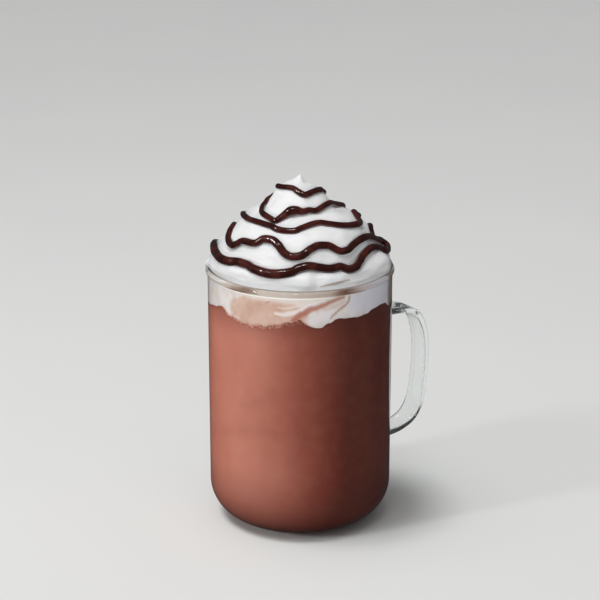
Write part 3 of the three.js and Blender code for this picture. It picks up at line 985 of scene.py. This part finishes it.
def drifting_brown(tree, place_on_wall, along, fine):
    """The drink's own colour, with its clouds and trails, and painted light that makes the lit left side
    paler.
    """
    drift = use_group(tree, cloud_group, {"Size": 26.0, "Stretch": (1, 1, 0.55), "Contrast": 1.6})
    clouds = step_between(tree, drift.outputs["Value"], 0.25, 0.8)
    # Painted light: the left side, where the lamp falls, is made paler.
    lit_side_and_clouds = calculate(tree, "MULTIPLY", step_between(tree, along, LIT_SIDE_FROM, LIT_SIDE_TO), 0.75)
    lit_side_and_clouds = calculate(tree, "MULTIPLY_ADD", clouds, 0.25, lit_side_and_clouds)
    brown = blend_colours(tree, lit_side_and_clouds, DRINK_BROWN, CLOUD_AND_LIT_BROWN)
    for bends in TRAILS:
        brown = paint(tree, streak(tree, place_on_wall, bends, TRAIL_SOFT), 0.3, brown, TRAIL_BROWN)
    return blend_colours(tree, step_between(tree, fine, 0.35, 0.75, 0.0, 0.15), brown, SPECKLE_BROWN)


def shaded_brown(tree, brown, height, edge):
    """Painted shade under the cream, at the edge and towards the base, with flecks of froth along the foam.
    """
    under_cream = step_between(tree, height, *SHADE_UNDER_CREAM)
    to_base = step_between(tree, height, *SHADE_TO_BASE)
    brown = blend_colours(tree, calculate(tree, "MAXIMUM", under_cream, to_base), brown, PAINTED_SHADE_BROWN)
    brown = blend_colours(tree, step_between(tree, edge["Above edge"], *SHADE_AT_EDGE), brown, EDGE_SHADE_BROWN)
    near = step_between(tree, edge["Above edge"], -1.6, 0.2)
    flecks = calculate(tree, "MULTIPLY", near, edge["Foam side"])
    flecks = calculate(tree, "MULTIPLY", flecks, step_between(tree, edge["Froth"], 0.5, 0.62))
    return blend_colours(tree, flecks, brown, PALE_FROTH)


# %% [markdown]
# The layers of colour come first. Under them a little light goes into the milk and comes out
# softer and redder, and fine clouds make the surface shine a little unevenly.

# %% Make the drink


def milky_chocolate():
    material, tree, shader = new_material("milk_chocolate_drink")
    where = use_group(tree, map_group).outputs
    along = add_node(tree, "ShaderNodeSeparateXYZ", {0: where["Place"]}).outputs["X"]
    edge = use_group(tree, froth_group, {"Along": along}).outputs
    fine = use_group(tree, cloud_group, {"Size": 5.0, "Detail": 4.0, "Contrast": 1.2}).outputs["Value"]
    brown = drifting_brown(tree, where["Place"], along, fine)
    brown = shaded_brown(tree, brown, where["Height"], edge)
    tree.links.new(brown, shader.inputs["Base Color"])
    tree.links.new(step_between(tree, fine, 0.3, 0.7, 0.5, 0.62), shader.inputs["Roughness"])
    shader.inputs["Subsurface Weight"].default_value = 0.5
    shader.inputs["Subsurface Radius"].default_value = (1.0, 0.45, 0.3)
    shader.inputs["Subsurface Scale"].default_value = 2.5 * MM
    shader.inputs["Specular IOR Level"].default_value = 0.3
    return material


drink_finish = milky_chocolate()
print(f"drink made, {len(drink_finish.node_tree.nodes)} nodes")

# %% [markdown]
# ## The finish of the cream
# Above the rim the cream is clean white and a little translucent. Behind the glass it has mixed
# with the drink: a tan foam on the left of the seen side, pale lobes and swooshes, and two brown
# streaks that rise to the right. The back has streaks of the same kind, which are a guess. All of
# them are streaks on the wall map, over clouds, and the table says how each is painted.

# %% Where the cream is stained
TAN_FOAM = [(-43, -10.5, 4.4), (-36, -10.4, 6.4), (-20, -10.9, 7), (-8, -10.8, 6.4), (-1, -11.2, 4.2)]
COOL_SIDE = [(38, -7, 4), (64, -7, 6)]
WHITE_VEIL = [(-44, -3, 1), (-20, -3.6, 1.5), (2, -3.6, 1.8), (16, -3, 1), (24, -2.8, 0.4)]
BETWEEN = [(11, -9.6, 0.5), (20, -7.6, 1.1), (28, -5.8, 0.8)]
WHITE_LOBE = [(8, -14, 1.6), (14, -11, 2.2), (20, -9.5, 1)]
SWOOSH = [(-15, -10.2, 0.6), (-9, -10.5, 1.1), (-2.5, -9.2, 1.1), (4, -6.9, 0.9), (10, -4.9, 0.5)]
SWOOSH_ABOVE = [(-14, -7.4, 0.2), (-6, -7.4, 0.5), (2, -5.4, 0.5), (8, -3.9, 0.3)]
STREAK_RIGHT = [
    (-4, -13.4, 1.2), (0.5, -10.3, 1.5), (7, -7.9, 1.3), (13.4, -6.7, 1.2), (20, -4.9, 1),
    (28, -3.4, 0.7),
]
STREAK_FAR = [(32, -3.6, 0.5), (31.6, -5.6, 0.6), (29, -7.6, 0.55), (24.5, -9.6, 0.5), (19.5, -12.6, 0.4)]
SPOT = [(-22, -5.6, 0.25), (-19.5, -5.4, 0.3)]
SMEAR = [(13, 2.3, 0.3), (22, 3.3, 0.6), (32, 4, 0.3)]
BACK_STREAKS = [
    [(104, -12, 1.2), (122, -9, 1.6), (138, -4, 0.8)],
    [(160, -11, 1.4), (182, -7.5, 1.1), (199, -3.5, 0.6)],
]
STAINS = [
    # bends, softness in millimetres, strength, colour
    (COOL_SIDE, 3, 0.7, colour(213, 211, 227)),
    (WHITE_VEIL, 1.4, 0.75, colour(228, 217, 210)),
    (BETWEEN, 1.2, 0.6, colour(208, 178, 164)),
    (WHITE_LOBE, 1.2, 0.85, colour(232, 224, 228)),
    (SWOOSH, 0.7, 0.9, colour(234, 227, 227)),
    (SWOOSH_ABOVE, 0.5, 0.7, colour(232, 222, 218)),
    (STREAK_RIGHT, 0.9, 0.9, colour(178, 116, 96)),
    (STREAK_FAR, 0.7, 0.8, colour(180, 128, 108)),
    (SPOT, 0.35, 0.6, colour(170, 112, 86)),
    (SMEAR, 0.4, 0.6, colour(158, 118, 88)),
    *[(bends, 0.9, 0.8, colour(190, 138, 116)) for bends in BACK_STREAKS],
]

# %% [markdown]
# Along the lip the cream shows a tan band, a painted dark line of shade at the very rim, and a
# painted highlight below them, where the rolled lip would catch the light. Brown dregs lie there
# too, more of them at the left and the right. These lines follow the glass, so they have a table of
# their own. The last two rows paint the shade that both ends of the band have when seen from the
# front. From the sides they show as dim marks on the cream.

# %% The lines along the lip
LIP_DREGS = [(-18, -2.3, 0.1), (-2, -2.4, 0.3), (14, -2.3, 0.3), (30, -2, 0.1)]
# A painted highlight, where the rolled lip would catch the light.
PAINTED_LIP_HIGHLIGHT = [(-62, -2.9, 0.2), (-30, -3, 0.3), (0, -3.1, 0.3), (22, -3, 0.2)]
STAIN_LEFT = [(-52, -1.2, 0.2), (-46, -1.5, 0.6), (-39, -1.8, 0.5), (-33, -2, 0.25), (-27, -2.2, 0.05)]
STAIN_RIGHT = [(20, -2.5, 0.2), (27, -2.1, 0.5), (34, -1.7, 0.5), (44, -1.3, 0.2)]
DIM_RIGHT = [(80, -1, 5.5), (80, -16, 5.5)]
DIM_LEFT = [(-86, -1, 1), (-86, -16, 1)]
# Real stains and dregs along the lip, with a painted highlight and painted shade.
LIP_STAINS_AND_PAINTED_LIGHT = [
    # bends, softness in millimetres, strength, colour
    (LIP_DREGS, 0.35, 0.75, colour(150, 104, 78)),
    (PAINTED_LIP_HIGHLIGHT, 0.25, 0.9, colour(252, 250, 248)),
    (STAIN_LEFT, 0.7, 0.95, colour(112, 72, 47)),
    (STAIN_RIGHT, 0.7, 0.95, colour(112, 72, 47)),
    (DIM_RIGHT, 2, 0.7, colour(106, 78, 78)),
    (DIM_LEFT, 2, 0.7, colour(106, 78, 78)),
]
LIP_BANDS = [
    # full between the two middle heights, none beyond the outer two, strength, colour
    (-2.7, -2.2, -0.7, -0.1, 0.55, colour(186, 156, 132)),
    # The second band is painted shade: a dark line where the cream meets the rim's top.
    (-0.5, -0.1, 0.3, 0.6, 0.7, colour(132, 112, 98)),
]


def banded(tree, tone, height):
    for low, full, until, high, strength, band in LIP_BANDS:
        rises = step_between(tree, height, low, full)
        falls = step_between(tree, height, until, high, 1.0, 0.0)
        tone = paint(tree, calculate(tree, "MULTIPLY", rises, falls), strength, tone, band)
    return tone


# Lays streaks over the tone: stains, and along the lip also painted light and shade.
def stained_and_lit(tree, tone, place_on_wall, marks_to_paint):
    for bends, soft, strength, paint_colour in marks_to_paint:
        tone = paint(tree, streak(tree, place_on_wall, bends, soft), strength, tone, paint_colour)
    return tone


# %% [markdown]
# The whole colour is put together in layers, as a painter would: clean white or pinkish white,
# the bands at the lip with their painted dark line of shade, the foam, the stains, the lip's stains
# with their painted highlight and shade, and last the froth where foam and drink mingle. The lines
# along the lip follow the glass, so they are drawn on a map that doesn't waver.

# %% Make the cream
CLEAN_WHITES = colour(243, 244, 245), colour(249, 249, 248)
PINKISH_WHITES = colour(230, 225, 224), colour(221, 209, 203)
TANS = colour(214, 182, 166), colour(199, 159, 141)
MINGLED_BROWN = colour(190, 124, 104)
IN_GLASS_BELOW = (-2.5, -1.2)
CREAM_WAVER = 1.6
TAN_SOFT, TAN_STRENGTH = 1.3, 0.9


def layered_cream(tree, softly):
    where = use_group(tree, map_group, {"Waver": CREAM_WAVER}).outputs
    still = use_group(tree, map_group).outputs["Place"]
    large = use_group(tree, cloud_group, {"Size": 14.0, "Detail": 2.0, "Contrast": 1.6}).outputs["Value"]
    clean = blend_colours(tree, large, *CLEAN_WHITES)
    pinkish = blend_colours(tree, step_between(tree, softly, 0.35, 0.75), *PINKISH_WHITES)
    in_glass = step_between(tree, where["Height"], *IN_GLASS_BELOW, 1.0, 0.0)
    tone = banded(tree, blend_colours(tree, in_glass, clean, pinkish), where["Height"])
    tan = blend_colours(tree, step_between(tree, softly, 0.3, 0.75), *TANS)
    tone = paint(tree, streak(tree, where["Place"], TAN_FOAM, TAN_SOFT), TAN_STRENGTH, tone, tan)
    tone = stained_and_lit(tree, tone, where["Place"], STAINS)
    # Along the lip: stains and dregs, a painted highlight and painted shade.
    tone = stained_and_lit(tree, tone, still, LIP_STAINS_AND_PAINTED_LIGHT)
    along = add_node(tree, "ShaderNodeSeparateXYZ", {0: where["Place"]}).outputs["X"]
    edge = use_group(tree, froth_group, {"Along": along}).outputs
    ragged = calculate(tree, "MULTIPLY_ADD", edge["Froth"], -2.4, edge["Above edge"])
    near = step_between(tree, ragged, -1.6, 0.4, 1.0, 0.0)
    return paint(tree, near, edge["Foam side"], tone, MINGLED_BROWN)


def piped_cream():
    material, tree, shader = new_material("whipped_cream")
    softly = use_group(tree, cloud_group, {"Size": 6.0, "Detail": 4.0, "Contrast": 1.4}).outputs["Value"]
    tree.links.new(layered_cream(tree, softly), shader.inputs["Base Color"])
    tree.links.new(step_between(tree, softly, 0.3, 0.7, 0.42, 0.55), shader.inputs["Roughness"])
    shader.inputs["Subsurface Weight"].default_value = 0.35
    shader.inputs["Subsurface Radius"].default_value = (1.0, 0.85, 0.7)
    shader.inputs["Subsurface Scale"].default_value = 2.5 * MM
    shader.inputs["Specular IOR Level"].default_value = 0.3
    foamy = use_group(tree, cloud_group, {"Size": 0.8, "Detail": 2.0}).outputs["Value"]
    bump = add_node(tree, "ShaderNodeBump", {"Height": foamy, "Strength": 0.12, "Distance": 0.2 * MM})
    tree.links.new(bump.outputs[0], shader.inputs["Normal"])
    return material


cream_finish = piped_cream()
print(f"cream made, {len(cream_finish.node_tree.nodes)} nodes")

# %% [markdown]
# ## The sauce and the bubbles
# The sauce is thick, dark and wet. A coat gives it the sharp highlights, and a faint wave in the
# surface breaks them up. The bubbles are gaps in the foam that show the dark drink behind them,
# so they are almost black and hardly shine.

# %% Make the sauce
SAUCE_BROWNS = colour(50, 19, 15), colour(80, 35, 30)
BUBBLE_BROWNS = colour(34, 11, 7), colour(56, 21, 14)


def dark_sauce():
    material, tree, shader = new_material("chocolate_sauce")
    slow = use_group(tree, cloud_group, {"Size": 5.0, "Detail": 2.0, "Contrast": 1.5}).outputs["Value"]
    brown = blend_colours(tree, step_between(tree, slow, 0.3, 0.75), *SAUCE_BROWNS)
    tree.links.new(brown, shader.inputs["Base Color"])
    tree.links.new(step_between(tree, slow, 0.3, 0.7, 0.16, 0.26), shader.inputs["Roughness"])
    shader.inputs["Coat Weight"].default_value = 1.0
    shader.inputs["Coat Roughness"].default_value = 0.04
    bump = add_node(tree, "ShaderNodeBump", {"Height": slow, "Strength": 0.25, "Distance": 0.6 * MM})
    tree.links.new(bump.outputs[0], shader.inputs["Normal"])
    return material


def dark_bubbles():
    material, tree, shader = new_material("bubble_gaps")
    fine = use_group(tree, cloud_group, {"Size": 0.6}).outputs["Value"]
    tree.links.new(blend_colours(tree, fine, *BUBBLE_BROWNS), shader.inputs["Base Color"])
    shader.inputs["Roughness"].default_value = 0.6
    shader.inputs["Specular IOR Level"].default_value = 0.15
    return material


sauce_finish, bubble_finish = dark_sauce(), dark_bubbles()
print("sauce and bubbles made")

# %% [markdown]
# ## The floor
# The floor is plain and pale, and wide enough to fill the picture from low angles too. A pale
# floor throws a lot of light back, and the mug's right side would never be as dark as the real
# one's. So the floor is hidden from the rays that light the mug and from those that mirror in it.

# %% Lay the floor
FLOOR_HALF = 60
FLOOR_GREYS = colour(206, 207, 206), colour(212, 212, 210)


def pale_floor():
    material, tree, shader = new_material("pale_floor")
    soft = use_group(tree, cloud_group, {"Size": 180.0, "Detail": 3.0}).outputs["Value"]
    tree.links.new(blend_colours(tree, soft, *FLOOR_GREYS), shader.inputs["Base Color"])
    shader.inputs["Roughness"].default_value = 0.7
    shader.inputs["Specular IOR Level"].default_value = 0.2
    return material


corners = [(x * FLOOR_HALF, y * FLOOR_HALF, 0) for x, y in ((-1, -1), (1, -1), (1, 1), (-1, 1))]
floor = add_piece("floor", corners, [[0, 1, 2, 3]])
floor.data.materials.append(pale_floor())
floor.visible_diffuse = False
floor.visible_glossy = False

# %% [markdown]
# ## The light
# The light comes mostly from the left. A narrow soft box, low down, leaves the right third of the
# drink in shade. White cream beside a dark drink needs less of it, and from more sides, so the
# cream and the sauce have soft boxes of their own. In a studio, black cards would keep each lamp
# to its place, and here light linking does. The floor has two suns of its own, a narrow one for
# the shadow's form and a wide one that softens it. Most boxes are hidden from mirror rays, because
# they would show as bright bars. Two small lamps give the sauce and the glass their glints.

# %% Set up the lamps
LAMPS_BELOW_RIM = 50 * MM
LAMPS = [
    # name, angle from the seen side, height angle, distance in metres, size, watts, mirrored
    ("side_box", -56, 14, 1.2, (0.12, 0.6), 11.2, True),
    ("cream_left", -54, 8, 1.2, (0.7, 0.25), 3.0, False),
    ("cream_front", -4, 4, 1.2, (0.6, 0.16), 2.2, False),
    ("cream_right", 50, 4, 1.2, (0.8, 0.2), 3.0, False),
    ("cream_top", -30, 62, 1.2, (0.5, 0.5), 3.9, False),
    ("cream_back", 145, 20, 1.2, (0.7, 0.4), 2.6, False),
    ("top_box", -80, 79, 1.1, (0.6, 0.6), 2.8, False),
    ("glint_left", -62, 40, 1.1, (0.08, 0.26), 2.0, True),
    ("glint_top", -20, 70, 1.1, (0.2, 0.07), 1.0, True),
]
FLOOR_SUNS = [
    # name, watts per square metre, how wide it is, in degrees
    ("floor_sun", 1.5, 14),
    ("floor_sky", 1.0, 150),
]


def add_lamp(name, angle, above, distance, size, power, mirrored):
    data = bpy.data.lights.new(name, "AREA")
    data.shape = "RECTANGLE"
    data.size, data.size_y = size
    data.energy = power
    lamp = bpy.data.objects.new(name, data)
    bpy.context.scene.collection.objects.link(lamp)
    flat, up = distance * math.cos(math.radians(above)), distance * math.sin(math.radians(above))
    lamp.location = Vector(place(flat / MM, up / MM, angle).tolist()) - Vector((0, 0, LAMPS_BELOW_RIM))
    lamp.rotation_euler = (rim_centre - lamp.location).to_track_quat("-Z", "Y").to_euler()
    lamp.visible_glossy = mirrored
    return lamp


def add_sun(name, power, wide, like):
    """A sun that shines the way another lamp does."""
    data = bpy.data.lights.new(name, "SUN")
    data.energy = power
    data.angle = math.radians(wide)
    sun = bpy.data.objects.new(name, data)
    bpy.context.scene.collection.objects.link(sun)
    sun.rotation_euler = like.rotation_euler
    sun.visible_glossy = False
    return sun


lamps = {row[0]: add_lamp(*row) for row in LAMPS}
lamps |= {row[0]: add_sun(*row, lamps["top_box"]) for row in FLOOR_SUNS}
print(f"{len(lamps)} lamps set")

# %% [markdown]
# Light linking names the pieces that a lamp shines on. A lamp that isn't named here lights all of
# them.

# %% Keep each lamp to its pieces
ON_FLOOR, ON_DRINK, ON_CREAM = (floor,), (drink, edge_bubbles), (cream, sauce)
LIT_BY = {
    "floor_sun": ON_FLOOR,
    "floor_sky": ON_FLOOR,
    "side_box": ON_DRINK,
    "cream_left": ON_CREAM,
    "cream_front": ON_CREAM,
    "cream_right": ON_CREAM,
    "cream_top": ON_CREAM,
    "cream_back": ON_CREAM,
}
for name, lit in LIT_BY.items():
    collection = bpy.data.collections.new(name + "_lights")
    for piece in lit:
        collection.objects.link(piece)
    lamps[name].light_linking.receiver_collection = collection
print(f"{len(LIT_BY)} of them shine on chosen pieces")

# %% [markdown]
# A very faint light from all round keeps the shaded side from going black. The plain view
# transform shows the colours as they were chosen.

# %% Light from all round
WORLD_LIGHT = 0.04
WORLD_COLOUR = (0.93, 0.96, 1.0, 1.0)

world = bpy.data.worlds.new("studio")
world.use_nodes = True
background = world.node_tree.nodes["Background"]
background.inputs["Color"].default_value = WORLD_COLOUR
background.inputs["Strength"].default_value = WORLD_LIGHT
bpy.context.scene.world = world
bpy.context.scene.view_settings.view_transform = "Standard"
print(f"world light {WORLD_LIGHT}")

# %% [markdown]
# ## Dress the frame
# Each piece gets its finish, rides on the one body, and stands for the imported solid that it
# replaces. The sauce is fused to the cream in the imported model, so both stand for that solid. The
# bubbles belong to the drink.

# %% Put the pieces on the frame
DRESSED = [
    (glass_mug, glass_finish, "glass_mug", "clear_glass"),
    (drink, drink_finish, "hot_chocolate", "milk_chocolate_drink"),
    (cream, cream_finish, "whipped_cream", "whipped_cream"),
    (sauce, sauce_finish, "whipped_cream", "chocolate_sauce"),
    (edge_bubbles, bubble_finish, "hot_chocolate", "milk_chocolate_drink"),
]
for piece, finish, node, slot in DRESSED:
    piece.data.materials.clear()
    piece.data.materials.append(finish)
    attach(piece, "root")
    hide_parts(node)
    print(f"{piece.name} stands for {node}")
